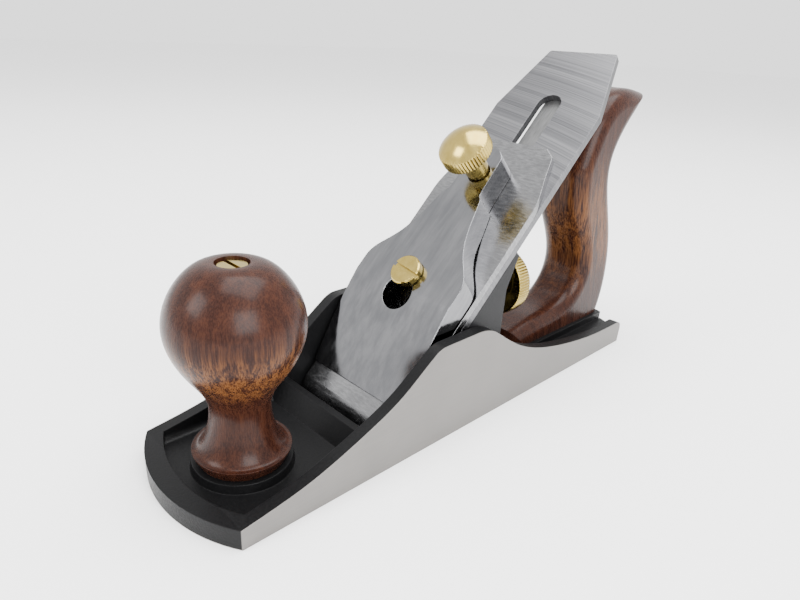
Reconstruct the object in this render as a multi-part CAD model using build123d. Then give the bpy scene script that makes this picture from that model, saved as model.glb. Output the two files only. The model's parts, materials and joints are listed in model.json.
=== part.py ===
from build123d import *
import math
import os

# A metal smoothing plane with a wooden knob and handle (tote).
# X points to the toe, +Y to the left cheek, Z up. The sole lies in z = 0 and the origin is the
# middle of it. Sizes are millimetres and angles degrees. Places on the sloping bed are given as
# s, the distance up the slope from the sole, and t, the height square off the bed.

# ---- body casting
BODY_LENGTH = 246.0
BODY_WIDTH = 63.5
TOE_BOW = 10.0
HEEL_BOW = 13.0
FLOOR = 4.0
CHEEK = 4.75
CHEEK_TOP = 40.6
TOE_RIM = 7.0
TOE_RIM_TOP = 7.5
HEEL_CHEEK_TOP = 11.4
TRAY_FILLET = 2.5

# ---- bed, mouth and frog seat
BED_ANGLE = 45.0
MOUTH_FROM_TOE = 74.25
MOUTH_OPENING = 6.7
RAMP_GAP = 0.8
SEAT_TOP = 9.0
RIB_TOP = 11.0
RIB_LAND = 3.0
RIB_FOOT = 8.5
GUIDE_WALL = 1.6
GUIDE_TOP = 14.0

# ---- frog
FROG_SIDE_GAP = 1.6
FROG_TOP = 92.0
FROG_WEB_SHARE = 6.4 / 25.4
FROG_PLATE = 6.0
FROG_BASE = 5.0
FROG_REAR_FROM_BED = 61.5
FROG_BACK_WALL = 5.0
FROG_BACK_WALL_TOP = 28.0
FROG_TRAVEL_FORWARD = 0.9
FROG_TRAVEL_BACK = 0.4
LUG_TOP = 99.5
LUG_WIDTH = 16.0
GUIDE_GAP = 0.5

# ---- frog fixing screws, washers and the screw that shifts the frog
FROG_SCREW_FROM_BED = 28.75
FROG_SCREW = 6.0
FROG_SCREW_HEAD = 10.5
FROG_SCREW_HEAD_HEIGHT = 4.0
FROG_WASHER = 13.0
FROG_WASHER_THICKNESS = 1.3
FROG_SLOT_GAP = 0.4
FROG_WASHER_GAP = 1.5
SHIFT_SCREW = 6.0
SHIFT_SCREW_NECK = 4.4
SHIFT_SCREW_HEAD = 9.4
SHIFT_SCREW_HEAD_LENGTH = 4.0
SHIFT_SCREW_HEIGHT = 9.5
SHIFT_PLATE = 1.6
SHIFT_PLATE_WIDTH = 11.0
PLATE_SCREW_HEIGHT = 20.5
PLATE_SCREW = 4.0
PLATE_SCREW_HEAD = 7.0

# ---- blade
BLADE_THICKNESS = 3.0
BLADE_TOP = 189.0
BLADE_SHOULDER = 157.0
BLADE_TOP_WIDTH = 32.4
BLADE_SLOT = 11.0
BLADE_SLOT_TOP = 165.0
BLADE_KEYHOLE = 24.0
BLADE_KEYHOLE_WIDTH = 16.0
GRIND_ANGLE = 27.0
EDGE_ABOVE_SOLE = 0.25

# ---- chipbreaker
BREAKER_THICKNESS = 3.0
BREAKER_BACK_FROM_EDGE = 1.3
BREAKER_NOSE = 0.4
BREAKER_BEVEL_TOP = 8.1
BREAKER_TOP = 136.0
BREAKER_TOP_WIDTH = 29.4
BREAKER_SCREW_S = 42.0
BREAKER_SCREW = 8.0
BREAKER_SCREW_HEAD = 14.0
BREAKER_SCREW_HEAD_HEIGHT = 3.4

# ---- lever cap with its fixed screw and its thumbscrew
CAP_GAP = 0.2
CAP_FRONT = 15.0
CAP_FRONT_THICKNESS = 0.9
CAP_SLOPE_TOP = 56.0
CAP_BELLY = 0.9
CAP_FACE = 17.0
CAP_SHOULDER = 64.0
CAP_TOP = 124.5
CAP_WALL = 3.6
CAP_PLATE = 4.6
CAP_ARCH = 1.0
CAP_TONGUE_WIDTH = 14.0
CAP_SCREW_S = 61.9
CAP_SCREW = 7.6
CAP_SCREW_HEAD = 12.6
CAP_SCREW_HEAD_HEIGHT = 3.5
CAP_SCREW_GAP = 0.4
CAP_RELEASE = 8.6
THUMB_S = 112.5
THUMB_THREAD = 8.0
THUMB_NECK = 9.6
THUMB_NECK_BOTTOM = 18.3
THUMB_HEAD = 20.5
THUMB_HEAD_BOTTOM = 27.0
THUMB_RIM = 6.0
THUMB_DOME = 3.8

# ---- depth adjuster: stud, wheel and the forked lever (yoke) on its pin
WHEEL_HEIGHT = 39.3
WHEEL = 30.6
WHEEL_RIM = 8.0
WHEEL_REAR_FROM_BED = 95.25
HUB_FLANGE = 15.2
HUB_GROOVE = 11.6
HUB_GROOVE_WIDTH = 6.0
HUB_FLANGE_WIDTH = 2.5
STUD = 7.0
STUD_BOSS = 13.0
RUNNING_GAP = 0.05
YOKE_PIN = 4.0
YOKE_PIN_FROM_BED = 62.75
YOKE_PIN_HEIGHT = 49.5
YOKE_WIDTH = 7.0
YOKE_THICKNESS = 3.0
YOKE_TIP_S = 74.0
YOKE_TIP_THICKNESS = 3.6
YOKE_TIP_TOP = 6.8
YOKE_PRONG = 3.0
YOKE_PRONG_THICKNESS = 2.5
YOKE_KNEE_HEIGHT = 51.5

# ---- lateral lever, its pivot and its roller
LEVER_THICKNESS = 1.6
LEVER_DEPTH = 0.2
LEVER_WIDTH = 9.4
LEVER_PIVOT_S = 93.5
LEVER_ROLLER_S = 83.0
LEVER_END = 168.0
LEVER_TAB = 8.0
ROLLER = 10.4
ROLLER_GAP = 0.3
RIVET = 4.0

# ---- knob and tote with their rods and nuts
KNOB_FROM_TOE = 29.8
KNOB_SEAT = 7.3
KNOB_HEIGHT = 69.3
KNOB_WIDTH = 44.6
KNOB_WAIST = 20.4
KNOB_FOOT = 32.4
KNOB_BOSS = 34.6
TOTE_FROM_HEEL = 0.0
TOTE_SEAT = 7.5
TOTE_LENGTH = 79.0
TOTE_HEIGHT = 113.0
TOTE_THICKNESS = 26.0
TOTE_EDGE_RADIUS = 7.5
TOTE_BOSS_WIDTH = 30.0
TOTE_ROD_FROM_HEEL = 6.5
TOTE_ROD_LEAN = 10.0
TOTE_NUT_SINK = 9.0
ROD = 6.0
ROD_GAP = 0.3
ROD_END = 1.5
NUT = 10.2
NUT_LENGTH = 7.0
NUT_SINK = 0.8
THREAD_GAP = 0.05

# ---- worked out from the sizes above
SIN_BED = math.sin(math.radians(BED_ANGLE))
COS_BED = math.cos(math.radians(BED_ANGLE))
TAN_BED = math.tan(math.radians(BED_ANGLE))
HALF_WIDTH = BODY_WIDTH / 2
INNER = HALF_WIDTH - CHEEK
TOE_X = BODY_LENGTH / 2
HEEL_X = -BODY_LENGTH / 2
TOE_CORNER = TOE_X - TOE_BOW
HEEL_CORNER = HEEL_X + HEEL_BOW
BED_X = TOE_X - MOUTH_FROM_TOE
MOUTH_FRONT = BED_X + MOUTH_OPENING
FROG_HALF = INNER - FROG_SIDE_GAP
BLADE_HALF = FROG_HALF
FROG_WEB = FROG_HALF * FROG_WEB_SHARE
FROG_SCREW_SPACING = 2 * (FROG_HALF - FROG_WEB - FROG_WASHER / 2 - FROG_WASHER_GAP)
GUIDE_WIDTH = FROG_SCREW_SPACING - FROG_SCREW - 2 * FROG_SLOT_GAP - 2 * GUIDE_WALL
ROLLER_HEIGHT = BLADE_THICKNESS - ROLLER_GAP
FROG_REAR = BED_X - FROG_REAR_FROM_BED
SEAT_REAR = FROG_REAR + FROG_TRAVEL_FORWARD + 2.5
EDGE_S = EDGE_ABOVE_SOLE / SIN_BED - BLADE_THICKNESS / TAN_BED
BREAKER_FACE = BLADE_THICKNESS + BREAKER_THICKNESS
CAP_UNDER = BREAKER_FACE + CAP_GAP
KNOB_X = TOE_X - KNOB_FROM_TOE
WHEEL_REAR = BED_X - WHEEL_REAR_FROM_BED
WHEEL_FRONT = WHEEL_REAR + WHEEL_RIM
HUB_FRONT = WHEEL_FRONT + 1.5 + HUB_GROOVE_WIDTH + HUB_FLANGE_WIDTH
YOKE_X = HUB_FRONT - HUB_FLANGE_WIDTH - HUB_GROOVE_WIDTH / 2
YOKE_PIN_X = BED_X - YOKE_PIN_FROM_BED
TALL = 300.0

BED = Plane(origin=(BED_X, 0, 0), x_dir=(-COS_BED, 0, SIN_BED), z_dir=(SIN_BED, 0, COS_BED))
SIDE = Plane(origin=(0, 0, 0), x_dir=(1, 0, 0), z_dir=(0, -1, 0))


def bed_xz(s, t):
    """Where a place on the bed lies in the plane's own X and Z."""
    return BED_X - s * COS_BED + t * SIN_BED, s * SIN_BED + t * COS_BED


def closed(*edges):
    return make_face([*edges])


def side_slab(face, y_low, y_high):
    """A shape drawn in X and Z, filled from y_low to y_high."""
    slab = extrude(SIDE * face, (y_high - y_low) / 2, both=True)
    return Pos(0, (y_low + y_high) / 2, 0) * slab


def polygon(*points):
    return make_face(Polyline(*points, close=True))


def side_polygon(y_low, y_high, *points):
    return side_slab(polygon(*points), y_low, y_high)


def bed_polygon(y_low, y_high, *places):
    """A slab whose outline is given as (s, t) places on the bed."""
    return side_polygon(y_low, y_high, *[bed_xz(s, t) for s, t in places])


def block(x_low, x_high, y_low, y_high, z_low, z_high):
    size = Box(x_high - x_low, y_high - y_low, z_high - z_low)
    return Pos((x_low + x_high) / 2, (y_low + y_high) / 2, (z_low + z_high) / 2) * size


def bed_block(s_low, s_high, half_width, t_low, t_high):
    return BED * block(s_low, s_high, -half_width, half_width, t_low, t_high)


def bed_pin(s, diameter, t_low, t_high):
    """A round pin or hole square to the bed."""
    return BED * Pos(s, 0, (t_low + t_high) / 2) * Cylinder(diameter / 2, t_high - t_low)


def x_pin(diameter, x_low, x_high, z):
    turn = Pos((x_low + x_high) / 2, 0, z) * Rot(0, 90, 0)
    return turn * Cylinder(diameter / 2, x_high - x_low)


def z_pin(diameter, x, y, z_low, z_high):
    return Pos(x, y, (z_low + z_high) / 2) * Cylinder(diameter / 2, z_high - z_low)


def bed_slot(s_low, s_high, width, t_low, t_high):
    """A slot along the bed with round ends at s_low and s_high."""
    straight = bed_block(s_low + width / 2, s_high - width / 2, width / 2, t_low, t_high)
    ends = [bed_pin(s, width, t_low, t_high) for s in (s_low + width / 2, s_high - width / 2)]
    return straight + ends


def end_arc(corner_x, bow, half):
    return ThreePointArc((corner_x, -half), (corner_x + bow, 0), (corner_x, half))


def plan(toe_corner, heel_corner, half):
    """The plane seen from above: straight sides between a bowed toe and a bowed heel."""
    return closed(
        end_arc(toe_corner, TOE_BOW, half),
        Line((toe_corner, half), (heel_corner, half)),
        end_arc(heel_corner, -HEEL_BOW, half),
        Line((heel_corner, -half), (toe_corner, -half)),
    )


def cheek_outline():
    """The cheeks seen from the side: a hump beside the bed that sweeps down to both ends."""
    hump_front = BED_X - 15.25
    hump_rear = BED_X - 50.75
    top_front = hump_front - 6.0
    top_rear = hump_rear + 12.0
    front_drop = CHEEK_TOP - 1.85
    rear_drop = CHEEK_TOP - 3.7
    front_run = TOE_CORNER - hump_front
    rear_run = hump_rear - HEEL_CORNER
    steep = Vector(0.826, -0.563)
    rear_round = 4.0
    sweep_front = Spline(
        (hump_front, front_drop),
        (hump_front + 0.21 * front_run, CHEEK_TOP - 13.7),
        (hump_front + 0.38 * front_run, CHEEK_TOP - 20.1),
        (hump_front + 0.70 * front_run, TOE_RIM_TOP + 4.2),
        (TOE_CORNER, TOE_RIM_TOP),
        tangents=[steep, Vector(1, -0.15)],
    )
    sweep_rear = Spline(
        (hump_rear, rear_drop),
        (hump_rear - 0.15 * rear_run, CHEEK_TOP - 14.0),
        (hump_rear - 0.38 * rear_run, HEEL_CHEEK_TOP + 6.4),
        (hump_rear - 0.71 * rear_run, HEEL_CHEEK_TOP + 0.7),
        (HEEL_CORNER + rear_round, HEEL_CHEEK_TOP),
        tangents=[Vector(-0.826, -0.563), Vector(-1, 0)],
    )
    return closed(
        TangentArc((top_front, CHEEK_TOP), (hump_front, front_drop), tangent=(1, 0)),
        sweep_front,
        Line((TOE_CORNER, TOE_RIM_TOP), (TOE_X + 1, TOE_RIM_TOP)),
        Line((TOE_X + 1, TOE_RIM_TOP), (TOE_X + 1, 0)),
        Line((TOE_X + 1, 0), (HEEL_X - 1, 0)),
        Line((HEEL_X - 1, 0), (HEEL_X - 1, FLOOR)),
        Line((HEEL_X - 1, FLOOR), (HEEL_CORNER, FLOOR)),
        Line((HEEL_CORNER, FLOOR), (HEEL_CORNER, HEEL_CHEEK_TOP - rear_round)),
        TangentArc(
            (HEEL_CORNER, HEEL_CHEEK_TOP - rear_round),
            (HEEL_CORNER + rear_round, HEEL_CHEEK_TOP),
            tangent=(0, 1),
        ),
        sweep_rear,
        TangentArc((top_rear, CHEEK_TOP), (hump_rear, rear_drop), tangent=(-1, 0)),
        Line((top_rear, CHEEK_TOP), (top_front, CHEEK_TOP)),
    )


def tray():
    """The space between the cheeks, down to the floor and forward to the toe rim."""
    section = Plane.YZ * (Pos(0, FLOOR + TALL / 2) * Rectangle(2 * INNER, TALL))
    channel = extrude(section, BODY_LENGTH, both=True)
    lower = [e for e in channel.edges().filter_by(Axis.X) if e.center().Z < FLOOR + 1]
    channel = fillet(lower, TRAY_FILLET)
    reach = plan(TOE_CORNER - TOE_RIM, HEEL_CORNER - BODY_LENGTH, HALF_WIDTH)
    return channel & extrude(reach, TALL)


def frog_seat():
    """The raised seat behind the mouth, with the guide rib that the frog straddles."""
    top_x = BED_X - RAMP_GAP - SEAT_TOP / TAN_BED
    foot_x = BED_X - RAMP_GAP
    seat = side_polygon(
        -INNER, INNER, (SEAT_REAR, 0.5), (SEAT_REAR, SEAT_TOP), (top_x, SEAT_TOP),
        (foot_x - 0.5 / TAN_BED, 0.5),
    )
    guide = block(SEAT_REAR, SEAT_REAR + 15, -GUIDE_WIDTH / 2, GUIDE_WIDTH / 2, FLOOR, GUIDE_TOP)
    return seat + guide


def mouth_rib():
    return side_polygon(
        -INNER, INNER, (MOUTH_FRONT, 0.5), (MOUTH_FRONT, RIB_TOP),
        (MOUTH_FRONT + RIB_LAND, RIB_TOP), (MOUTH_FRONT + RIB_FOOT, FLOOR),
        (MOUTH_FRONT + RIB_FOOT, 0.5),
    )


def mouth():
    foot_x = BED_X - RAMP_GAP
    return side_polygon(
        -INNER, INNER, (MOUTH_FRONT, -1), (MOUTH_FRONT, SEAT_TOP),
        (foot_x - SEAT_TOP / TAN_BED, SEAT_TOP), (foot_x + 1 / TAN_BED, -1),
    )


def tote_rod_place():
    """The line of the handle's rod: from the seat, leaning forward as it rises."""
    start = Pos(HEEL_X + TOTE_ROD_FROM_HEEL, 0, 0)
    return start * Rot(0, TOTE_ROD_LEAN, 0)


def rod_height(z):
    """Distance along the leaning rod at which it reaches height z."""
    return z / math.cos(math.radians(TOTE_ROD_LEAN))


def rod_pin(diameter, z_low, z_high):
    low, high = rod_height(z_low), rod_height(z_high)
    return tote_rod_place() * Pos(0, 0, (low + high) / 2) * Cylinder(diameter / 2, high - low)


def tote_boss():
    """The raised strip that the handle stands on, round in front and bowed at the heel."""
    half = TOTE_BOSS_WIDTH / 2
    front = HEEL_X + TOTE_FROM_HEEL + TOTE_LENGTH + 2 - half
    strip = block(HEEL_X - 1, front, -half, half, FLOOR - 1, TOTE_SEAT)
    nose = z_pin(TOTE_BOSS_WIDTH, front, 0, FLOOR - 1, TOTE_SEAT)
    return (strip + nose) & extrude(plan(TOE_CORNER, HEEL_CORNER, HALF_WIDTH), TOTE_SEAT)


def body_casting():
    outer = side_slab(cheek_outline(), -HALF_WIDTH, HALF_WIDTH)
    body = outer & extrude(plan(TOE_CORNER, HEEL_CORNER, HALF_WIDTH), TALL)
    body -= tray()
    body += frog_seat() + mouth_rib()
    knob_boss = extrude(Circle(KNOB_BOSS / 2 + 0.6), KNOB_SEAT - FLOOR + 1, taper=9)
    body += Pos(KNOB_X, 0, FLOOR - 1) * knob_boss
    body += tote_boss()
    body -= mouth()
    body -= z_pin(ROD + 2 * THREAD_GAP, KNOB_X, 0, ROD_END, KNOB_SEAT + 1)
    body -= rod_pin(ROD + 2 * THREAD_GAP, ROD_END, TOTE_SEAT + 2)
    for y in (-FROG_SCREW_SPACING / 2, FROG_SCREW_SPACING / 2):
        body -= z_pin(FROG_SCREW + 2 * THREAD_GAP, frog_screw_x(), y, ROD_END, SEAT_TOP + 1)
    body -= x_pin(SHIFT_SCREW + 0.2, SEAT_REAR - 1, SEAT_REAR + 15.5, SHIFT_SCREW_HEIGHT)
    return body


def frog_screw_x():
    return BED_X - FROG_SCREW_FROM_BED


def frog_web(y_low, y_high):
    web_top = bed_xz(FROG_TOP, -2.5)
    knee_height = web_top[1] - 13.0
    return side_polygon(
        y_low, y_high, (BED_X - SEAT_TOP / TAN_BED, SEAT_TOP), bed_xz(FROG_TOP, 0), web_top,
        (FROG_REAR, knee_height), (FROG_REAR, SEAT_TOP),
    )


def frog_pocket():
    """The well for the two fixing screws and, higher up, the dish for the chipbreaker screw."""
    x = frog_screw_x()
    reach = FROG_WASHER / 2 + 0.4
    well = block(
        x - reach - FROG_TRAVEL_FORWARD, x + reach + FROG_TRAVEL_BACK + 1.5,
        -(FROG_HALF - FROG_WEB), FROG_HALF - FROG_WEB, SEAT_TOP + FROG_BASE, CHEEK_TOP,
    )
    room = BREAKER_SCREW_HEAD / 2 + 2.5
    dish = bed_block(
        BREAKER_SCREW_S - room, BREAKER_SCREW_S + room, room,
        -BREAKER_SCREW_HEAD_HEIGHT - 0.8, 1,
    )
    return well + dish


def frog_slots():
    """Slots that let the frog slide under its two fixing screws."""
    width = FROG_SCREW + 2 * FROG_SLOT_GAP
    low = frog_screw_x() - FROG_TRAVEL_FORWARD - FROG_SLOT_GAP
    high = frog_screw_x() + FROG_TRAVEL_BACK + FROG_SLOT_GAP
    cuts = []
    for y in (-FROG_SCREW_SPACING / 2, FROG_SCREW_SPACING / 2):
        cuts.append(block(low, high, y - width / 2, y + width / 2, SEAT_TOP - 1, CHEEK_TOP / 2))
        for x in (low, high):
            cuts.append(z_pin(width, x, y, SEAT_TOP - 1, CHEEK_TOP / 2))
    return cuts


def frog_lugs():
    """Two ears under the bed plate that hold the yoke pin."""
    inner = YOKE_WIDTH / 2 + 0.4
    reach = YOKE_PIN / 2 + 2.4
    lugs = []
    for sign in (-1, 1):
        y = sorted((sign * inner, sign * (inner + 4)))
        ear = Pos(YOKE_PIN_X, sum(y) / 2, YOKE_PIN_HEIGHT) * Rot(90, 0, 0) * Cylinder(reach, 4)
        arm = bed_polygon(
            y[0], y[1], (yoke_pin_place()[0] - reach, yoke_pin_place()[1]),
            (yoke_pin_place()[0] - reach, -1), (yoke_pin_place()[0] + reach, -1),
            (yoke_pin_place()[0] + reach, yoke_pin_place()[1]),
        )
        lugs += [ear, arm]
    return lugs


def yoke_pin_place():
    """The yoke pin's place on the bed, as (s, t)."""
    dx, dz = YOKE_PIN_X - BED_X, YOKE_PIN_HEIGHT
    return -dx * COS_BED + dz * SIN_BED, dx * SIN_BED + dz * COS_BED


def stud_boss_rear():
    return HUB_FRONT + 10.0


def frog():
    inner = FROG_HALF - FROG_WEB
    toe = BED_X - SEAT_TOP / TAN_BED
    body = frog_web(-FROG_HALF, -inner) + frog_web(inner, FROG_HALF)
    foot_s = SEAT_TOP / SIN_BED
    body += bed_polygon(
        -inner - 1, inner + 1, (foot_s, 0), (FROG_TOP, 0), (FROG_TOP, -4), (FROG_TOP - 6, -FROG_PLATE),
        (foot_s + FROG_PLATE, -FROG_PLATE),
    )
    body += side_polygon(
        -inner - 1, inner + 1, (toe, SEAT_TOP), (toe - FROG_BASE / TAN_BED, SEAT_TOP + FROG_BASE),
        (FROG_REAR, SEAT_TOP + FROG_BASE), (FROG_REAR, SEAT_TOP),
    )
    body += block(
        FROG_REAR, FROG_REAR + FROG_BACK_WALL, -inner - 1, inner + 1, SEAT_TOP, FROG_BACK_WALL_TOP
    )
    body += bed_slot(FROG_TOP - 20, LUG_TOP, LUG_WIDTH, -FROG_PLATE, 0)
    body += bed_pin(CAP_SCREW_S, 14, -13, -1)
    boss = x_pin(STUD_BOSS, stud_boss_rear(), BED_X - WHEEL_HEIGHT / TAN_BED, WHEEL_HEIGHT)
    body += boss & bed_block(0, FROG_TOP + 40, STUD_BOSS, -60, -1)
    body += frog_lugs()
    body -= frog_pocket()
    for cut in frog_slots():
        body -= cut
    notch = GUIDE_WIDTH / 2 + GUIDE_GAP
    body -= block(FROG_REAR - 1, SEAT_REAR + 19, -notch, notch, SEAT_TOP - 1, GUIDE_TOP + GUIDE_GAP)
    body -= bed_pin(CAP_SCREW_S, CAP_SCREW + 2 * THREAD_GAP, -11.5, 1)
    body -= x_pin(STUD + 2 * THREAD_GAP, stud_boss_rear() - 1, stud_boss_rear() + 13, WHEEL_HEIGHT)
    body -= bed_block(YOKE_TIP_S - 4, YOKE_TIP_S + 9.5, YOKE_WIDTH / 2 + 0.8, -FROG_PLATE - 1, 1)
    body -= yoke_pin(YOKE_PIN + 2 * THREAD_GAP)
    body -= bed_block(
        LEVER_ROLLER_S - ROLLER / 2 - 1.2, LUG_TOP + 1, LEVER_WIDTH / 2 + 2.2,
        -LEVER_THICKNESS - 2 * LEVER_DEPTH, 1,
    )
    body -= bed_pin(LEVER_PIVOT_S, RIVET + 2 * THREAD_GAP, -FROG_PLATE - 1, 1)
    body -= x_pin(PLATE_SCREW + 2 * THREAD_GAP, FROG_REAR - 1, FROG_REAR + 4.5, PLATE_SCREW_HEIGHT)
    return body


def frog_screws():
    low = SEAT_TOP + FROG_BASE + FROG_WASHER_THICKNESS
    screws = []
    for y in (-FROG_SCREW_SPACING / 2, FROG_SCREW_SPACING / 2):
        x = frog_screw_x()
        head = z_pin(FROG_SCREW_HEAD, x, y, low, low + FROG_SCREW_HEAD_HEIGHT)
        head = chamfer(head.edges().group_by(Axis.Z)[-1], 0.8)
        screw = head + z_pin(FROG_SCREW, x, y, ROD_END + 0.3, low + 1)
        top = low + FROG_SCREW_HEAD_HEIGHT
        screw -= block(x - 0.8, x + 0.8, y - 6, y + 6, top - 1.8, top + 1)
        screws.append(screw)
    return screws


def frog_washers():
    low = SEAT_TOP + FROG_BASE
    washers = []
    for y in (-FROG_SCREW_SPACING / 2, FROG_SCREW_SPACING / 2):
        ring = z_pin(FROG_WASHER, frog_screw_x(), y, low, low + FROG_WASHER_THICKNESS)
        hole = z_pin(FROG_SCREW + 0.4, frog_screw_x(), y, low - 1, low + 3)
        washers.append(ring - hole)
    return washers


def frog_adjusting_screw():
    """Threads into the seat; its neck carries the plate that draws the frog back and forth."""
    neck_front = FROG_REAR + 0.1
    neck_rear = FROG_REAR - SHIFT_PLATE - 0.1
    head_rear = neck_rear - SHIFT_SCREW_HEAD_LENGTH
    screw = x_pin(SHIFT_SCREW, neck_front, SEAT_REAR + 12.5, SHIFT_SCREW_HEIGHT)
    screw += x_pin(SHIFT_SCREW_NECK, neck_rear - 1, neck_front + 1, SHIFT_SCREW_HEIGHT)
    screw += x_pin(SHIFT_SCREW_HEAD, head_rear, neck_rear, SHIFT_SCREW_HEIGHT)
    slot_low, slot_high = SHIFT_SCREW_HEIGHT - 0.7, SHIFT_SCREW_HEIGHT + 0.7
    return screw - block(head_rear - 1, head_rear + 1.6, -6, 6, slot_low, slot_high)


def frog_adjusting_plate():
    """Hangs from the frog's back wall and forks over the neck of the adjusting screw."""
    half = SHIFT_PLATE_WIDTH / 2
    rear = FROG_REAR - SHIFT_PLATE
    top = PLATE_SCREW_HEIGHT + 4.5
    plate = block(rear, FROG_REAR, -half, half, FLOOR + 0.8, top)
    corners = plate.edges().filter_by(Axis.X).group_by(Axis.Z)[-1]
    plate = fillet(corners, 3)
    gap = SHIFT_SCREW_NECK / 2 + 0.15
    plate -= block(rear - 1, FROG_REAR + 1, -gap, gap, 0, SHIFT_SCREW_HEIGHT)
    plate -= x_pin(2 * gap, rear - 1, FROG_REAR + 1, SHIFT_SCREW_HEIGHT)
    return plate - x_pin(PLATE_SCREW + 0.2, rear - 1, FROG_REAR + 1, PLATE_SCREW_HEIGHT)


def frog_plate_screw():
    head_front = FROG_REAR - SHIFT_PLATE
    head_rear = head_front - 2.4
    screw = x_pin(PLATE_SCREW, head_front - 1, FROG_REAR + 4, PLATE_SCREW_HEIGHT)
    head = x_pin(PLATE_SCREW_HEAD, head_rear, head_front, PLATE_SCREW_HEIGHT)
    head = chamfer(head.edges().group_by(Axis.X)[0], 0.6)
    slot_low, slot_high = PLATE_SCREW_HEIGHT - 0.5, PLATE_SCREW_HEIGHT + 0.5
    return screw + head - block(head_rear - 1, head_rear + 1.1, -5, 5, slot_low, slot_high)


def depth_stud():
    stud = x_pin(STUD, WHEEL_REAR - 0.8, stud_boss_rear() + 12, WHEEL_HEIGHT)
    return chamfer(stud.edges().group_by(Axis.X)[0], 0.8)


def depth_wheel():
    """A broad rim to turn and, in front of it, a grooved hub that carries the yoke."""
    rim = x_pin(WHEEL, WHEEL_REAR, WHEEL_FRONT, WHEEL_HEIGHT)
    rim = chamfer(rim.edges().filter_by(GeomType.CIRCLE), 0.7)
    wheel = rim + x_pin(HUB_GROOVE, WHEEL_FRONT - 1, HUB_FRONT, WHEEL_HEIGHT)
    wheel += x_pin(HUB_FLANGE, WHEEL_FRONT - 1, WHEEL_FRONT + 1.5, WHEEL_HEIGHT)
    wheel += x_pin(HUB_FLANGE, HUB_FRONT - HUB_FLANGE_WIDTH, HUB_FRONT, WHEEL_HEIGHT)
    dish = Pos(WHEEL_REAR, 0, WHEEL_HEIGHT) * Rot(0, 90, 0) * Cone(WHEEL / 2 - 3, 5, 3.0)
    wheel -= dish
    bore = STUD + 2 * RUNNING_GAP
    return wheel - x_pin(bore, WHEEL_REAR - 1, HUB_FRONT + 1, WHEEL_HEIGHT)


def yoke_pin(diameter=YOKE_PIN):
    length = YOKE_WIDTH + 2 * (0.4 + 4)
    return Pos(YOKE_PIN_X, 0, YOKE_PIN_HEIGHT) * Rot(90, 0, 0) * Cylinder(diameter / 2, length)


def yoke():
    """One forked lever: a tip up through the bed, and two prongs down into the wheel's groove."""
    half = YOKE_WIDTH / 2
    pin_s, pin_t = yoke_pin_place()
    tip = YOKE_TIP_THICKNESS / 2
    arm = bed_polygon(
        -half, half, (YOKE_TIP_S - tip, YOKE_TIP_TOP), (YOKE_TIP_S + tip, YOKE_TIP_TOP),
        (YOKE_TIP_S + tip, 0), (pin_s + 3.2, pin_t + 1), (pin_s - 2.5, pin_t - 2.5),
        (pin_s - 3.5, pin_t + 1), (YOKE_TIP_S - tip, 0),
    )
    arm += Pos(YOKE_PIN_X, 0, YOKE_PIN_HEIGHT) * Rot(90, 0, 0) * Cylinder(3.6, YOKE_WIDTH)
    thick = YOKE_THICKNESS / 2
    knee = YOKE_KNEE_HEIGHT
    shoulder_x = YOKE_PIN_X - 5.5
    bridge = side_polygon(
        -half, half, (YOKE_PIN_X, YOKE_PIN_HEIGHT - thick), (YOKE_PIN_X, YOKE_PIN_HEIGHT + thick),
        (shoulder_x - 2, knee + thick), (shoulder_x - 2, knee - thick),
    )
    prong_inner = HUB_GROOVE / 2 + 0.5
    prong_outer = prong_inner + YOKE_PRONG
    rear = YOKE_X - YOKE_PRONG_THICKNESS / 2
    front = YOKE_X + YOKE_PRONG_THICKNESS / 2
    cross = block(rear, shoulder_x, -prong_outer, prong_outer, knee - thick, knee + thick)
    fork = block(rear, front, -prong_outer, prong_outer, WHEEL_HEIGHT - 3.3, knee)
    fork -= block(rear - 1, front + 1, -prong_inner, prong_inner, 0, knee - thick)
    return arm + bridge + cross + fork - yoke_pin(YOKE_PIN + 2 * RUNNING_GAP)


def lever_plate_levels():
    top = -LEVER_DEPTH
    return top - LEVER_THICKNESS, top


def lateral_lever():
    low, top = lever_plate_levels()
    half = LEVER_WIDTH / 2
    arm = bed_block(LEVER_ROLLER_S, LEVER_END - half, half, low, top)
    arm += bed_pin(LEVER_ROLLER_S, LEVER_WIDTH, low, top)
    arm += bed_pin(LEVER_END - half, LEVER_WIDTH, low, top)
    tab = bed_block(LEVER_END - LEVER_THICKNESS - 1, LEVER_END - 1, half - 1.5, low - LEVER_TAB, top)
    arm += tab
    return arm - bed_pin(LEVER_PIVOT_S, RIVET + 2 * RUNNING_GAP, low - 1, top + 1)


def lateral_roller():
    """A disc fixed to the lever's short end that fits the slot in the blade."""
    top = lever_plate_levels()[1]
    disc = bed_pin(LEVER_ROLLER_S, ROLLER, top, ROLLER_HEIGHT)
    return chamfer(disc.edges().filter_by(GeomType.CIRCLE), 0.3)


def lateral_rivet():
    return bed_pin(LEVER_PIVOT_S, RIVET, -FROG_PLATE, lever_plate_levels()[1])


def lever_cap_screw():
    top = CAP_FACE + 0.15 + CAP_SCREW_HEAD_HEIGHT
    head = bed_pin(CAP_SCREW_S, CAP_SCREW_HEAD, CAP_FACE + 0.15, top)
    head = chamfer(head.edges().filter_by(GeomType.CIRCLE), 0.5)
    screw = head + bed_pin(CAP_SCREW_S, CAP_SCREW, -10.8, CAP_FACE + 1)
    return screw - BED * Pos(CAP_SCREW_S, 0, top) * Rot(0, 0, -8) * Box(1.7, 20, 3.2)


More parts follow.
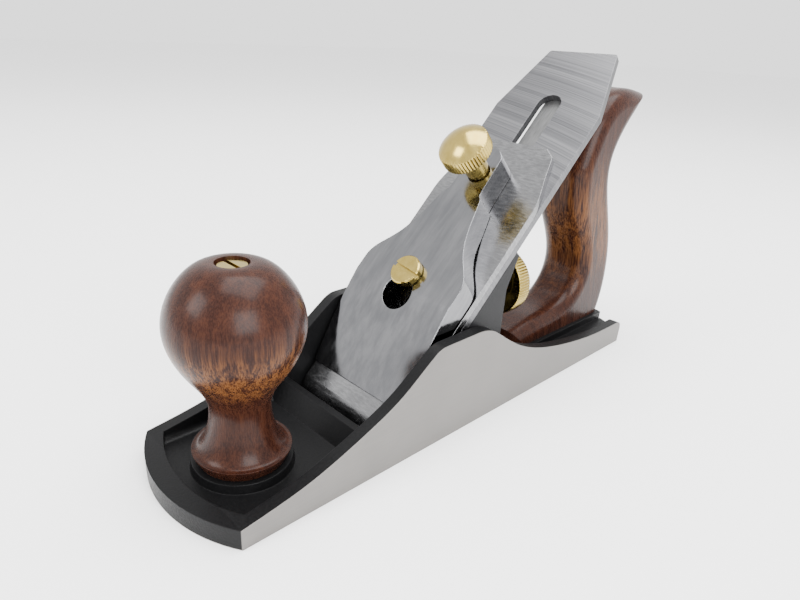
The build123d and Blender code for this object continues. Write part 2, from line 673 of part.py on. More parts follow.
def cap_plan(wall=0.0):
    """The lever cap seen square to the bed: a broad apron, rounded shoulders and a tongue.

    The outline lies inside the cap's own sides by the given wall.
    """
    half = BLADE_HALF - wall
    tongue = CAP_TONGUE_WIDTH / 2 - wall
    long_run = CAP_TOP - CAP_SHOULDER
    side = []
    for sign in (-1, 1):
        side.append(Line((CAP_FRONT, sign * half), (CAP_SHOULDER - 2, sign * half)))
        side.append(Spline(
            (CAP_SHOULDER - 2, sign * half),
            (CAP_SHOULDER + 0.04 * long_run, sign * (half - 0.9)),
            (CAP_SHOULDER + 0.17 * long_run, sign * (half - 6.4)),
            (CAP_SHOULDER + 0.40 * long_run, sign * (tongue + 5.6)),
            (CAP_SHOULDER + 0.60 * long_run, sign * (tongue + 2.4)),
            (CAP_TOP - 5, sign * tongue),
            tangents=[(1, 0), (1, sign * -0.03)],
        ))
    crown = ThreePointArc((CAP_TOP - 5, -tongue), (CAP_TOP, 0), (CAP_TOP - 5, tongue))
    front = Line((CAP_FRONT, -half), (CAP_FRONT, half))
    return closed(*side, crown, front)


def lever_cap():
    outline = BED * Pos(0, 0, CAP_UNDER) * extrude(cap_plan(), CAP_FACE)
    lip = CAP_UNDER + CAP_FRONT_THICKNESS
    middle = ((CAP_FRONT + CAP_SLOPE_TOP) / 2, (lip + CAP_FACE) / 2 + CAP_BELLY)
    rim = [
        (CAP_SLOPE_TOP, CAP_FACE), (CAP_TOP + 5, CAP_FACE), (CAP_TOP + 5, CAP_UNDER),
        (CAP_TOP - 34, CAP_UNDER), (CAP_TOP - 42, CAP_UNDER + CAP_ARCH),
        (CAP_SLOPE_TOP - 5, CAP_UNDER + CAP_ARCH), (CAP_SLOPE_TOP - 11, CAP_UNDER),
        (CAP_FRONT, CAP_UNDER), (CAP_FRONT, lip),
    ]
    slope = ThreePointArc(bed_xz(CAP_FRONT, lip), bed_xz(*middle), bed_xz(CAP_SLOPE_TOP, CAP_FACE))
    section = closed(slope, Polyline(*[bed_xz(s, t) for s, t in rim]))
    profile = side_slab(section, -HALF_WIDTH, HALF_WIDTH)
    cap = outline & profile
    hollow_low, hollow_high = CAP_SLOPE_TOP - 8, CAP_SLOPE_TOP + 36
    reach = Pos((hollow_low + hollow_high) / 2, 0) * Rectangle(hollow_high - hollow_low, BODY_WIDTH)
    inside = cap_plan(CAP_WALL) & reach
    cap -= BED * extrude(inside, CAP_FACE - CAP_PLATE)
    neck = CAP_SCREW + 2 * CAP_SCREW_GAP
    hole_s = CAP_SCREW_S - CAP_RELEASE
    cap -= bed_pin(hole_s, CAP_SCREW_HEAD + 2.5 * CAP_SCREW_GAP, 0, CAP_FACE + 1)
    cap -= bed_slot(hole_s, CAP_SCREW_S + neck / 2 + 0.2, neck, 0, CAP_FACE + 1)
    return cap - bed_pin(THUMB_S, THUMB_THREAD + 2 * RUNNING_GAP, 0, CAP_FACE + 1)


def thumbscrew():
    rim_top = THUMB_HEAD_BOTTOM + THUMB_RIM
    radius = THUMB_HEAD / 2
    dome = (radius**2 + THUMB_DOME**2) / (2 * THUMB_DOME)
    shoulder = 0.6 * radius
    shoulder_top = rim_top + THUMB_DOME - dome + math.sqrt(dome**2 - shoulder**2)
    half_profile = closed(
        Polyline(
            (0, CAP_UNDER), (THUMB_THREAD / 2, CAP_UNDER), (THUMB_THREAD / 2, THUMB_NECK_BOTTOM),
            (THUMB_NECK / 2, THUMB_NECK_BOTTOM), (THUMB_NECK / 2, THUMB_HEAD_BOTTOM - 1.5),
            (radius - 2, THUMB_HEAD_BOTTOM), (radius, THUMB_HEAD_BOTTOM + 0.8), (radius, rim_top),
        ),
        ThreePointArc((radius, rim_top), (shoulder, shoulder_top), (0, rim_top + THUMB_DOME)),
        Line((0, rim_top + THUMB_DOME), (0, CAP_UNDER)),
    )
    turned = revolve(Plane.XZ * half_profile, Axis.Z)
    return BED * Pos(THUMB_S, 0, 0) * turned


def breaker_plan():
    half = BLADE_HALF
    narrow = BREAKER_TOP_WIDTH / 2
    flare = BREAKER_TOP - 30
    front = EDGE_S
    sides = []
    for sign in (-1, 1):
        sides.append(Line((front, sign * half), (flare, sign * half)))
        sides.append(Spline(
            (flare, sign * half), (BREAKER_TOP - 14, sign * (narrow + 7.2)),
            (BREAKER_TOP - 3.5, sign * (narrow + 4.4)), tangents=[(1, 0), (1, sign * -0.3)],
        ))
        sides.append(Line((BREAKER_TOP - 3.5, sign * (narrow + 4.4)), (BREAKER_TOP, sign * narrow)))
    sides.append(Line((BREAKER_TOP, -narrow), (BREAKER_TOP, narrow)))
    sides.append(Line((front, -half), (front, half)))
    return closed(*sides)


def chipbreaker():
    nose = EDGE_S + BREAKER_BACK_FROM_EDGE
    low = BLADE_THICKNESS
    profile = bed_polygon(
        -TALL, TALL, (nose, low), (nose, low + BREAKER_NOSE), (BREAKER_BEVEL_TOP, BREAKER_FACE),
        (BREAKER_TOP + 1, BREAKER_FACE), (BREAKER_TOP + 1, low),
    )
    plate = profile & (BED * extrude(breaker_plan(), TALL / 2))
    plate -= bed_slot(CAP_SCREW_S - 11, CAP_SCREW_S + 7.2, CAP_SCREW_HEAD + 1, 0, BREAKER_FACE + 1)
    window = YOKE_TIP_THICKNESS / 2 + 0.3
    plate -= bed_block(YOKE_TIP_S - window, YOKE_TIP_S + window, YOKE_WIDTH / 2 + 0.6, 0, BREAKER_FACE + 1)
    return plate - bed_pin(BREAKER_SCREW_S, BREAKER_SCREW + 2 * THREAD_GAP, 0, BREAKER_FACE + 1)


def chipbreaker_screw():
    head = bed_pin(BREAKER_SCREW_S, BREAKER_SCREW_HEAD, -BREAKER_SCREW_HEAD_HEIGHT, 0)
    head = chamfer(head.edges().filter_by(GeomType.CIRCLE), 0.5)
    screw = head + bed_pin(BREAKER_SCREW_S, BREAKER_SCREW, -1, BREAKER_FACE - 0.1)
    slot = bed_block(
        BREAKER_SCREW_S - 9, BREAKER_SCREW_S + 9, 0.9,
        -BREAKER_SCREW_HEAD_HEIGHT - 1, -BREAKER_SCREW_HEAD_HEIGHT + 1.3,
    )
    return screw - slot


def blade():
    """Ground on its underside to a straight edge, with clipped corners at the top."""
    half = BLADE_HALF
    narrow = BLADE_TOP_WIDTH / 2
    outline = polygon(
        (EDGE_S, -half), (BLADE_SHOULDER, -half), (BLADE_TOP, -narrow), (BLADE_TOP, narrow),
        (BLADE_SHOULDER, half), (EDGE_S, half),
    )
    outline = fillet(outline.vertices().group_by(Axis.X)[-1], 1.2)
    steel = BED * extrude(outline, BLADE_THICKNESS)
    run = BLADE_THICKNESS / math.tan(math.radians(GRIND_ANGLE))
    steel -= bed_polygon(
        -half - 1, half + 1, (EDGE_S, BLADE_THICKNESS), (EDGE_S + run, 0), (EDGE_S + run, -1),
        (EDGE_S - 1, -1), (EDGE_S - 1, BLADE_THICKNESS),
    )
    steel -= bed_slot(BLADE_KEYHOLE, BLADE_SLOT_TOP, BLADE_SLOT, -1, BLADE_THICKNESS + 1)
    return steel - bed_pin(BLADE_KEYHOLE, BLADE_KEYHOLE_WIDTH, -1, BLADE_THICKNESS + 1)


def front_knob():
    """Turned in one piece: a round bulb, a waist and a spreading foot."""
    low, high = KNOB_SEAT, KNOB_SEAT + KNOB_HEIGHT
    bulb, waist, foot = KNOB_WIDTH / 2, KNOB_WAIST / 2, KNOB_FOOT / 2
    bore = ROD / 2 + ROD_GAP
    well = NUT / 2 + ROD_GAP
    well_floor = high - NUT_SINK - NUT_LENGTH
    skin = Spline(
        (well + 1.2, high), (bulb * 0.66, high - 0.05 * KNOB_HEIGHT), (bulb, low + 0.72 * KNOB_HEIGHT),
        (bulb * 0.74, low + 0.48 * KNOB_HEIGHT), (waist, low + 0.27 * KNOB_HEIGHT),
        (foot, low + 0.06 * KNOB_HEIGHT), (foot - 1.2, low), tangents=[(1, -0.05), (-0.5, -1)],
    )
    half_profile = closed(
        skin,
        Polyline(
            (foot - 1.2, low), (bore, low), (bore, well_floor), (well, well_floor), (well, high),
            (well + 1.2, high),
        ),
    )
    return Pos(KNOB_X, 0, 0) * revolve(Plane.XZ * half_profile, Axis.Z)


def knob_nut_bottom():
    return KNOB_SEAT + KNOB_HEIGHT - NUT_SINK - NUT_LENGTH + 0.05


def knob_rod():
    return z_pin(ROD, KNOB_X, 0, ROD_END + 0.2, knob_nut_bottom() + NUT_LENGTH - 2.2)


def knob_nut():
    low = knob_nut_bottom()
    nut = z_pin(NUT, KNOB_X, 0, low, low + NUT_LENGTH)
    nut = chamfer(nut.edges().group_by(Axis.Z)[-1], 0.5)
    nut -= z_pin(ROD + 2 * THREAD_GAP, KNOB_X, 0, low - 1, low + NUT_LENGTH - 2.1)
    top = low + NUT_LENGTH
    return nut - block(KNOB_X - 0.7, KNOB_X + 0.7, -NUT, NUT, top - 1.3, top + 1)


def tote_outline():
    """The handle from the side: a foot with a forward toe, a raked grip and a horn behind."""
    rear = HEEL_X + TOTE_FROM_HEEL
    low = TOTE_SEAT
    top = TOTE_SEAT + TOTE_HEIGHT
    toe = rear + TOTE_LENGTH
    rise = TOTE_HEIGHT
    back = Spline(
        (rear - 0.5, low), (rear - 3.0, low + 0.18 * rise), (rear + 1.5, low + 0.38 * rise),
        (rear + 11.5, low + 0.58 * rise), (rear + 14.9, low + 0.73 * rise),
        (rear + 7.5, low + 0.85 * rise), (rear - 6, top - 1.5),
        tangents=[(-0.35, 1), (-0.62, 0.78)],
    )
    crown = Spline(
        (rear - 6, top - 1.5), (rear + 15, top + 0.2), (rear + 32, top - 9), (rear + 42, top - 30),
        (rear + 41.5, low + 0.58 * rise), tangents=[(1, 0.2), (-0.2, -1)],
    )
    front = Spline(
        (rear + 41.5, low + 0.58 * rise), (rear + 31, low + 0.375 * rise), (rear + 27.0, low + 0.225 * rise),
        (rear + 35, low + 0.13 * rise), (rear + 60, low + 0.088 * rise), (toe - 2, low + 0.065 * rise),
        tangents=[(-0.2, -1), (1, -0.1)],
    )
    nose = Line((toe - 2, low + 0.065 * rise), (toe, low))
    base = Line((toe, low), (rear - 0.5, low))
    return closed(back, crown, front, nose, base)


def tote():
    half = TOTE_THICKNESS / 2
    wood = side_slab(tote_outline(), -half, half)
    sides = [e for e in wood.edges() if abs(abs(e.center().Y) - half) < 0.01]
    rims = [e for e in sides if e.center().Z > TOTE_SEAT + 0.1]
    wood = fillet(rims, TOTE_EDGE_RADIUS)
    wood -= rod_pin(ROD + 2 * ROD_GAP, 0, tote_nut_low() + 1)
    return wood - rod_pin(NUT + 2 * ROD_GAP, tote_nut_low() - 0.05, TALL)


def tote_nut_low():
    """The handle's top slopes down towards the nut, which sits below its lowest edge."""
    return TOTE_SEAT + TOTE_HEIGHT - TOTE_NUT_SINK - NUT_LENGTH


def tote_rod():
    return rod_pin(ROD, ROD_END + 0.4, tote_nut_low() + NUT_LENGTH - 2.2)


def tote_nut():
    low = tote_nut_low()
    nut = rod_pin(NUT, low, low + NUT_LENGTH)
    nut -= rod_pin(ROD + 2 * THREAD_GAP, low - 1, low + NUT_LENGTH - 2.1)
    top = rod_height(low + NUT_LENGTH)
    return nut - tote_rod_place() * Pos(0, 0, top) * Box(1.4, 2 * NUT, 2.6)


PIECES = {
    "body_casting": body_casting,
    "front_knob": front_knob,
    "knob_rod": knob_rod,
    "knob_nut": knob_nut,
    "tote": tote,
    "tote_rod": tote_rod,
    "tote_nut": tote_nut,
    "frog": frog,
    "frog_screws": frog_screws,
    "frog_washers": frog_washers,
    "frog_adjusting_screw": frog_adjusting_screw,
    "frog_adjusting_plate": frog_adjusting_plate,
    "frog_plate_screw": frog_plate_screw,
    "depth_stud": depth_stud,
    "depth_wheel": depth_wheel,
    "yoke": yoke,
    "yoke_pin": yoke_pin,
    "lateral_lever": lateral_lever,
    "lateral_roller": lateral_roller,
    "lateral_rivet": lateral_rivet,
    "lever_cap_screw": lever_cap_screw,
    "lever_cap": lever_cap,
    "thumbscrew": thumbscrew,
    "chipbreaker": chipbreaker,
    "chipbreaker_screw": chipbreaker_screw,
    "blade": blade,
}

os.makedirs("parts", exist_ok=True)
for name, make in PIECES.items():
    shape = make()
    if isinstance(shape, list):
        shape = Compound(children=shape)
    export_step(shape, f"parts/{name}.step")
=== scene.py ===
import json
import math

import bmesh
import bpy
from mathutils import Matrix, Vector


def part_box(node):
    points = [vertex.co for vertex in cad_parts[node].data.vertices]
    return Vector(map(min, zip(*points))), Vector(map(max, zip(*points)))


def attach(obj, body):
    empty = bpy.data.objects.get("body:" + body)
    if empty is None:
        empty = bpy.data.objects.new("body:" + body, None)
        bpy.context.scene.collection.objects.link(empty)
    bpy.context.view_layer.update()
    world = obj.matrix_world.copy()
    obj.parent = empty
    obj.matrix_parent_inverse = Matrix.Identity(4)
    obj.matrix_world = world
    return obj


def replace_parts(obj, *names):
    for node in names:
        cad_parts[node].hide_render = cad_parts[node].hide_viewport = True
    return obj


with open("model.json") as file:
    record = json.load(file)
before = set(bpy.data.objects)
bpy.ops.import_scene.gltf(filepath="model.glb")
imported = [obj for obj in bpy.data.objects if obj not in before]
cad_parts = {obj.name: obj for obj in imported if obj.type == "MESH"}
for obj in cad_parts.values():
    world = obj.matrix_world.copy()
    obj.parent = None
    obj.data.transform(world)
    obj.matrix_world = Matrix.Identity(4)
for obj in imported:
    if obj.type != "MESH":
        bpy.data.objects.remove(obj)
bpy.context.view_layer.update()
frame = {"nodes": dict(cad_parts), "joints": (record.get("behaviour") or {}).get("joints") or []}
joints = {j["name"]: j for j in frame["joints"]}

BODY_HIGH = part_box("body_casting")[1]
HALF_WIDTH = BODY_HIGH[1] * 1000
BED_FOOT = joints["blade_skew"]["pos_m"][0] * 1000 + joints["blade_skew"]["pos_m"][2] * 1000
SLOPE = math.sqrt(0.5)
THUMB_KNURLS, THUMB_KNURL_DEPTH = 48, 0.00055
WHEEL_KNURLS, WHEEL_KNURL_DEPTH = 72, 0.0005
STEPS_PER_KNURL = 6
DOME_RINGS = 15
SHARP_EDGE = math.radians(34.0)
FLOOR_REACH, FLOOR_DROP = 4.0, -0.0001
ROOM_STRENGTH = 1.9


class Value:
    """A number in a shader, so that looks can be written as sums."""

    def __init__(self, look, socket):
        self.look, self.socket = look, socket

    def math(self, operation, first, second=0.0):
        return self.look.node("ShaderNodeMath", {"operation": operation}, {0: first, 1: second})

    def __add__(self, other):
        return self.math("ADD", self, other)

    def __radd__(self, other):
        return self.math("ADD", other, self)

    def __sub__(self, other):
        return self.math("SUBTRACT", self, other)

    def __mul__(self, other):
        return self.math("MULTIPLY", self, other)

    def __pow__(self, other):
        return self.math("POWER", self, other)

    def __abs__(self):
        return self.math("ABSOLUTE", self)

    def larger(self, other):
        return self.math("MAXIMUM", self, other)


class Look:
    """A node material made piece by piece."""

    def __init__(self, name):
        self.material = bpy.data.materials.new(name)
        self.material.use_nodes = True
        self.tree = self.material.node_tree
        self.tree.nodes.clear()
        self.output = self.tree.nodes.new("ShaderNodeOutputMaterial")

    def node(self, kind, settings=None, inputs=None, output=0):
        made = self.tree.nodes.new(kind)
        for key, setting in (settings or {}).items():
            setattr(made, key, setting)
        for key, given in (inputs or {}).items():
            if isinstance(given, Value):
                self.tree.links.new(given.socket, made.inputs[key])
            else:
                made.inputs[key].default_value = given
        return Value(self, made.outputs[output])

    def place(self):
        """X, Y and Z on the piece, in millimetres."""
        spot = self.node("ShaderNodeTexCoord", output="Object")
        parts = self.node("ShaderNodeSeparateXYZ", {}, {0: spot})
        sockets = parts.socket.node.outputs
        return [Value(self, sockets[i]) * 1000.0 for i in range(3)]

    def bed_place(self):
        """Distance up the bed, across it, and square off it, in millimetres."""
        x, y, z = self.place()
        return (z - x + BED_FOOT) * SLOPE, y, (z + x - BED_FOOT) * SLOPE

    def noise(self, x, y, z, detail=3.0, roughness=0.55):
        spot = self.node("ShaderNodeCombineXYZ", {}, {0: x, 1: y, 2: z})
        return self.node(
            "ShaderNodeTexNoise", {"noise_dimensions": "3D"},
            {"Vector": spot, "Scale": 1.0, "Detail": detail, "Roughness": roughness},
        )

    def ramp(self, value, low, high, start=0.0, end=1.0):
        return self.node(
            "ShaderNodeMapRange", {"interpolation_type": "SMOOTHSTEP"},
            {"Value": value, "From Min": low, "From Max": high, "To Min": start, "To Max": end},
        )

    def mix(self, amount, first, second):
        inputs = {0: amount, 6: first, 7: second}
        return self.node("ShaderNodeMix", {"data_type": "RGBA"}, inputs, output=2)

    def bump(self, height, distance, strength=1.0, edge=0.0):
        inputs = {"Height": height, "Distance": distance, "Strength": strength}
        if edge:
            inputs["Normal"] = self.node("ShaderNodeBevel", {"samples": 6}, {"Radius": edge})
        return self.node("ShaderNodeBump", {}, inputs)

    def surface(self, **inputs):
        named = {key.replace("_", " "): value for key, value in inputs.items()}
        return self.node("ShaderNodeBsdfPrincipled", {}, named)

    def finish(self, shader):
        self.tree.links.new(shader.socket, self.output.inputs["Surface"])
        return self.material


def rgb(red, green, blue):
    return (red, green, blue, 1.0)


def scuffs(look, x, y, z, scale=0.09):
    """Slow, uneven wear that makes a metal duller in some places."""
    return look.noise(x * scale, y * scale, z * scale, 4.0, 0.6)


def cast_iron():
    """Ground cheeks and sole; everything else is satin black paint."""
    look = Look("cast_iron_body")
    x, y, z = look.place()
    lines = look.noise(x * 0.05, y * 0.05, z * 5.5, 2.0)
    fine = look.noise(x * 0.25, y * 6.0, z * 14.0, 2.0)
    wear = scuffs(look, x, y, z, 0.045)
    tone = look.ramp(lines * 0.45 + wear * 0.55, 0.3, 0.7)
    ground = look.surface(
        Base_Color=look.mix(tone, rgb(0.165, 0.158, 0.150), rgb(0.205, 0.196, 0.186)),
        Metallic=1.0, Roughness=look.ramp(lines + wear, 0.6, 1.4, 0.40, 0.52),
        Normal=look.bump(lines * 0.4 + fine * 0.6, 0.00002, 0.5, 0.0003),
    )
    grain = look.noise(x * 1.3, y * 1.3, z * 1.3, 4.0, 0.6)
    paint = look.surface(
        Base_Color=look.mix(grain, rgb(0.0022, 0.0022, 0.0024), rgb(0.006, 0.006, 0.0064)),
        Roughness=look.ramp(grain, 0.3, 0.7, 0.34, 0.48), Specular_IOR_Level=0.12,
        Normal=look.bump(grain, 0.00012, 0.6, 0.0005),
    )
    cheek = look.ramp(abs(y), HALF_WIDTH - 0.35, HALF_WIDTH - 0.1)
    sole = look.ramp(z, 0.1, 0.3, 1.0, 0.0)
    inputs = {0: cheek.larger(sole), 1: paint, 2: ground}
    return look.finish(look.node("ShaderNodeMixShader", {}, inputs))


def black_paint(name, dark, light):
    look = Look(name)
    x, y, z = look.place()
    grain = look.noise(x * 1.5, y * 1.5, z * 1.5, 4.0, 0.6)
    return look.finish(look.surface(
        Base_Color=look.mix(grain, dark, light), Roughness=look.ramp(grain, 0.3, 0.7, 0.36, 0.5),
        Specular_IOR_Level=0.12,
        Normal=look.bump(grain, 0.00012, 0.6, 0.0004),
    ))


def bed_steel(name, dark, light, dull, across, along, edge=0.0003):
    """Steel brushed along or across the slope of the bed."""
    look = Look(name)
    s, y, t = look.bed_place()
    lines = look.noise(s * along, y * across, t * 0.5, 3.0)
    wear = look.noise(s * 0.06, y * 0.06, t * 0.06, 4.0)
    tone = look.ramp(lines * 0.6 + wear * 0.4, 0.3, 0.7)
    return look.finish(look.surface(
        Base_Color=look.mix(tone, dark, light), Metallic=1.0,
        Roughness=look.ramp(lines + wear, 0.6, 1.4, dull, dull + 0.12),
        Normal=look.bump(lines, 0.000012, 0.5, edge),
    ))


def blade_steel():
    """Surface grinding leaves wide shallow arcs over the blade."""
    look = Look("ground_blade")
    s, y, t = look.bed_place()
    off, over = s + 240.0, y + 90.0
    sweep = (off * off + over * over) ** 0.5
    arcs = look.noise(sweep * 2.6, t * 0.1, s * 0.01, 3.0, 0.6)
    broad = look.noise(sweep * 0.28, t * 0.1, s * 0.02, 2.0)
    tone = look.ramp(arcs * 0.6 + broad * 0.4, 0.32, 0.68)
    return look.finish(look.surface(
        Base_Color=look.mix(tone, rgb(0.105, 0.105, 0.112), rgb(0.19, 0.19, 0.196)), Metallic=1.0,
        Roughness=look.ramp(arcs + broad, 0.6, 1.4, 0.28, 0.44),
        Normal=look.bump(arcs, 0.00002, 0.6, 0.0003),
    ))


def brass():
    look = Look("polished_brass")
    x, y, z = look.place()
    wear = scuffs(look, x, y, z, 0.35)
    scratch = look.noise(x * 2.0, y * 9.0, z * 9.0, 2.0)
    return look.finish(look.surface(
        Base_Color=look.mix(wear, rgb(0.34, 0.24, 0.055), rgb(0.50, 0.39, 0.12)), Metallic=1.0,
        Roughness=look.ramp(wear * 0.6 + scratch * 0.4, 0.3, 0.7, 0.13, 0.27),
        Normal=look.bump(scratch, 0.000008, 0.4, 0.0002),
    ))


def plain_steel():
    look = Look("plain_steel")
    x, y, z = look.place()
    wear = scuffs(look, x, y, z, 0.4)
    return look.finish(look.surface(
        Base_Color=look.mix(wear, rgb(0.15, 0.15, 0.15), rgb(0.24, 0.24, 0.24)), Metallic=1.0,
        Roughness=look.ramp(wear, 0.3, 0.7, 0.25, 0.42), Normal=look.bump(wear, 0.00002, 0.4, 0.0002),
    ))


def rosewood(name, lean, highlight_height, highlight_reach):
    """Dark red-brown wood: upright grain, fine pores and golden streaks, which are brightened in a
    band at a set height as a painted highlight.
    """
    look = Look(name)
    x, y, z = look.place()
    along = z + x * lean
    over = x - z * lean
    bend = look.noise(over * 0.05, y * 0.05, along * 0.012, 2.0)
    figure = look.noise(over * 0.42 + bend * 5.0, y * 0.42, along * 0.035, 4.0, 0.6)
    fibre = look.noise(over * 2.4 + bend * 6.0, y * 2.4, along * 0.09, 3.0, 0.6)
    pores = look.ramp(look.noise(over * 4.6, y * 4.6, along * 0.42, 1.0), 0.68, 0.74)
    # painted highlight: the golden streaks are made strongest in a band around a set height, standing
    # in for light on the upper sides
    highlight_band = look.ramp(abs(z - highlight_height), 2.0, highlight_reach, 1.0, 0.0)
    streak = look.ramp(fibre * 0.5 + figure * 0.5 + highlight_band * 0.05, 0.46, 0.64)
    shade = look.ramp(figure, 0.3, 0.75)
    body = look.mix(shade, rgb(0.013, 0.0045, 0.0032), rgb(0.030, 0.0098, 0.0060))
    warm = look.mix(look.ramp(fibre, 0.35, 0.7) * 0.55, body, rgb(0.040, 0.0135, 0.0078))
    # golden streaks are the wood's own figure; their extra strength inside the band is painted
    # highlight
    streaks_and_highlight = look.mix(streak * (0.05 + highlight_band * 0.6), warm, rgb(0.15, 0.060, 0.018))
    colour = look.mix(pores * 0.6, streaks_and_highlight, rgb(0.010, 0.004, 0.003))
    return look.finish(look.surface(
        Base_Color=colour, Roughness=look.ramp(fibre + pores, 0.4, 1.2, 0.27, 0.42),
        Coat_Weight=0.04, Coat_Roughness=0.12, Specular_IOR_Level=0.11,
        Normal=look.bump(fibre * 0.3 - pores, 0.00003, 0.4),
    ))


def paper():
    look = Look("pale_floor")
    x, y, z = look.place()
    tooth = look.noise(x * 0.02, y * 0.02, z, 4.0)
    return look.finish(look.surface(
        Base_Color=look.mix(tooth, rgb(0.955, 0.955, 0.955), rgb(0.975, 0.975, 0.975)), Roughness=0.75,
        Normal=look.bump(tooth, 0.0002, 0.1),
    ))


def knurled_turning(profile, teeth, depth):
    """A turned piece. Profile rows are height along the axis, radius, and how much of the knurl."""
    steps = teeth * STEPS_PER_KNURL
    mesh = bmesh.new()
    rings = []
    for height, radius, cut in profile:
        ring = []
        for i in range(steps):
            wave = abs((i % STEPS_PER_KNURL) * 2.0 / STEPS_PER_KNURL - 1.0)
            r = radius - depth * cut * wave ** 1.3
            angle = 2 * math.pi * i / steps
            ring.append(mesh.verts.new((r * math.cos(angle), r * math.sin(angle), height)))
        rings.append(ring)
    for low, high in zip(rings, rings[1:]):
        for i in range(steps):
            j = (i + 1) % steps
            mesh.faces.new((low[i], low[j], high[j], high[i]))
    return mesh, rings


def as_object(name, mesh, start, axis, material):
    bmesh.ops.recalc_face_normals(mesh, faces=mesh.faces)
    turn = Vector(axis).normalized().to_track_quat("Z", "Y").to_matrix().to_4x4()
    mesh.transform(Matrix.Translation(Vector(start)) @ turn)
    data = bpy.data.meshes.new(name)
    mesh.to_mesh(data)
    mesh.free()
    data.shade_smooth()
    data.set_sharp_from_angle(angle=SHARP_EDGE)
    data.materials.append(material)
    made = bpy.data.objects.new(name, data)
    bpy.context.scene.collection.objects.link(made)
    return made


def cap_ends(mesh, rings):
    mesh.faces.new(rings[0][::-1])
    mesh.faces.new(rings[-1])


def thumbscrew(material):
    """Heights are from the lever cap's joint point, 20 mm off the bed."""
    joint = joints["thumbscrew_turn"]
    head, neck, stem = 0.01020, 0.0048, 0.0040
    low, high, dome = 0.0070, 0.0130, 0.0038
    rows = [(-0.0138, stem - 0.0005, 0), (-0.0133, stem, 0), (-0.0017, stem, 0), (-0.0017, neck, 0)]
    rows += [(low - 0.0016, neck, 0), (low - 0.0008, neck + 0.0012, 0)]
    rows.append((low - 0.0001, head - 0.0022, 0))
    rows += [(low + 0.0002, head - 0.0008, 0), (low + 0.0004, head - 0.0002, 0.4)]
    rows += [(low + 0.0008, head, 1), (high - 0.0006, head, 1), (high - 0.0002, head - 0.0002, 0.5)]
    crown = head - 0.0006
    rows.append((high, crown, 0))
    ball = (crown ** 2 + dome ** 2) / (2 * dome)
    for i in range(1, DOME_RINGS):
        r = crown * (1 - i / DOME_RINGS)
        rows.append((high + dome - ball + math.sqrt(ball ** 2 - r ** 2), r, 0))
    mesh, rings = knurled_turning(rows, THUMB_KNURLS, THUMB_KNURL_DEPTH)
    cap_ends(mesh, rings)
    made = as_object("thumbscrew_turned", mesh, joint["pos_m"], joint["axis"], material)
    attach(made, joint["child"])
    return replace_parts(made, "thumbscrew")


def depth_wheel(material):
    """Heights are from the joint point in the middle of the rim, towards the toe."""
    joint = joints["depth_wheel_turn"]
    rim, bore = 0.0153, 0.00355
    rows = [(-0.0010, bore, 0), (-0.0010, 0.0050, 0), (-0.0019, 0.0064, 0), (-0.0038, 0.0119, 0)]
    rows += [(-0.0040, 0.0124, 0), (-0.0040, rim - 0.0010, 0), (-0.0037, rim - 0.0003, 0.3)]
    rows += [(-0.0033, rim, 1), (0.0033, rim, 1), (0.0037, rim - 0.0003, 0.3)]
    rows += [(0.0040, rim - 0.0010, 0), (0.0040, 0.0076, 0), (0.0055, 0.0076, 0), (0.0055, 0.0058, 0)]
    rows += [(0.0115, 0.0058, 0), (0.0115, 0.0076, 0), (0.0140, 0.0076, 0), (0.0140, bore, 0)]
    mesh, rings = knurled_turning(rows, WHEEL_KNURLS, WHEEL_KNURL_DEPTH)
    for i, (a, b) in enumerate(zip(rings[0], rings[-1])):
        j = (i + 1) % len(rings[0])
        mesh.faces.new((a, rings[0][j], rings[-1][j], b))
    made = as_object("depth_wheel_turned", mesh, joint["pos_m"], joint["axis"], material)
    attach(made, joint["child"])
    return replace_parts(made, "depth_wheel")


brass_look = brass()
steel_look = plain_steel()
looks = {
    "body_casting": cast_iron(),
    "front_knob": rosewood("knob_wood", 0.0, 46.0, 16.0),
    "tote": rosewood("tote_wood", 0.22, 58.0, 45.0),
    "frog": black_paint("frog_paint", rgb(0.006, 0.006, 0.0065), rgb(0.014, 0.014, 0.015)),
    "yoke": black_paint("yoke_iron", rgb(0.010, 0.010, 0.010), rgb(0.022, 0.022, 0.022)),
    "lateral_lever": bed_steel(
        "lever_steel", rgb(0.10, 0.10, 0.10), rgb(0.17, 0.17, 0.17), 0.42, 3.0, 0.2
    ),
    "lever_cap": bed_steel(
        "cap_metal", rgb(0.145, 0.147, 0.155), rgb(0.205, 0.205, 0.212), 0.07, 0.35, 0.05, 0.0005
    ),
    "chipbreaker": bed_steel(
        "chipbreaker_steel", rgb(0.17, 0.17, 0.175), rgb(0.26, 0.26, 0.265), 0.16, 0.3, 1.2
    ),
    "blade": blade_steel(),
    "lever_cap_screw": brass_look,
    "knob_nut": brass_look,
    "tote_nut": brass_look,
    "thumbscrew": brass_look,
    "depth_wheel": brass_look,
}
for name, piece in frame["nodes"].items():
    piece.data.materials.clear()
    piece.data.materials.append(looks.get(name, steel_look))

thumbscrew(brass_look)
depth_wheel(brass_look)


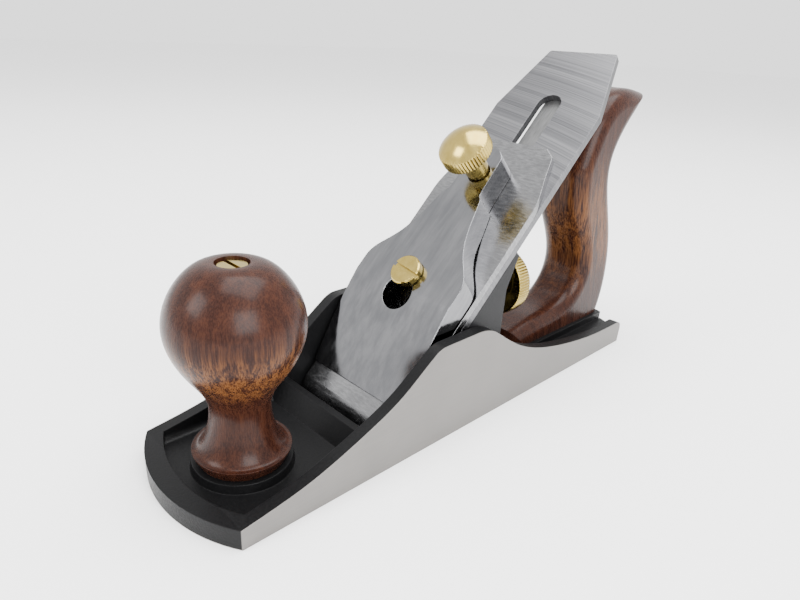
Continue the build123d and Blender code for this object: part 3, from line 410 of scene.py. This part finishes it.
def floor():
    mesh = bmesh.new()
    far = FLOOR_REACH
    corners = [(-far, -far), (far, -far), (far, far), (-far, far)]
    mesh.faces.new([mesh.verts.new((x, y, FLOOR_DROP)) for x, y in corners])
    data = bpy.data.meshes.new("floor")
    mesh.to_mesh(data)
    mesh.free()
    data.materials.append(paper())
    made = bpy.data.objects.new("floor", data)
    bpy.context.scene.collection.objects.link(made)


def soft_light(name, place, target, size, power):
    data = bpy.data.lights.new(name, "AREA")
    data.shape, data.size, data.size_y = "RECTANGLE", size[0], size[1]
    data.energy = power
    made = bpy.data.objects.new(name, data)
    made.location = place
    made.rotation_mode = "QUATERNION"
    made.rotation_quaternion = (Vector(target) - Vector(place)).to_track_quat("-Z", "Y")
    bpy.context.scene.collection.objects.link(made)


def studio():
    world = bpy.data.worlds.new("studio_room")
    world.use_nodes = True
    room = world.node_tree.nodes["Background"]
    room.inputs["Color"].default_value = rgb(1.0, 1.0, 1.0)
    room.inputs["Strength"].default_value = ROOM_STRENGTH
    bpy.context.scene.world = world
    middle = (0.0, 0.0, 0.05)
    soft_light("overhead_softbox", (-0.1, 0.1, 1.0), middle, (0.9, 0.9), 22.0)
    soft_light("left_softbox", (0.3, 1.0, 0.55), middle, (0.7, 0.6), 15.0)
    soft_light("toe_softbox", (1.0, -0.3, 0.7), middle, (0.5, 0.5), 9.0)


def camera():
    right = Vector((-0.7364, 0.6750, 0.0453)).normalized()
    ahead = Vector((-0.6263, -0.6549, -0.4229)).normalized()
    up = right.cross(ahead).normalized()
    right = ahead.cross(up)
    data = bpy.data.cameras.new("camera")
    data.sensor_width, data.lens = 36.0, 27.853
    data.shift_x, data.shift_y = 0.02922, 0.02284
    data.clip_start, data.clip_end = 0.01, 20.0
    made = bpy.data.objects.new("camera", data)
    turn = Matrix((right, up, -ahead)).transposed().to_4x4()
    made.matrix_world = Matrix.Translation((0.18069, 0.15449, 0.14091)) @ turn
    bpy.context.scene.collection.objects.link(made)
    bpy.context.scene.camera = made


floor()
studio()
camera()
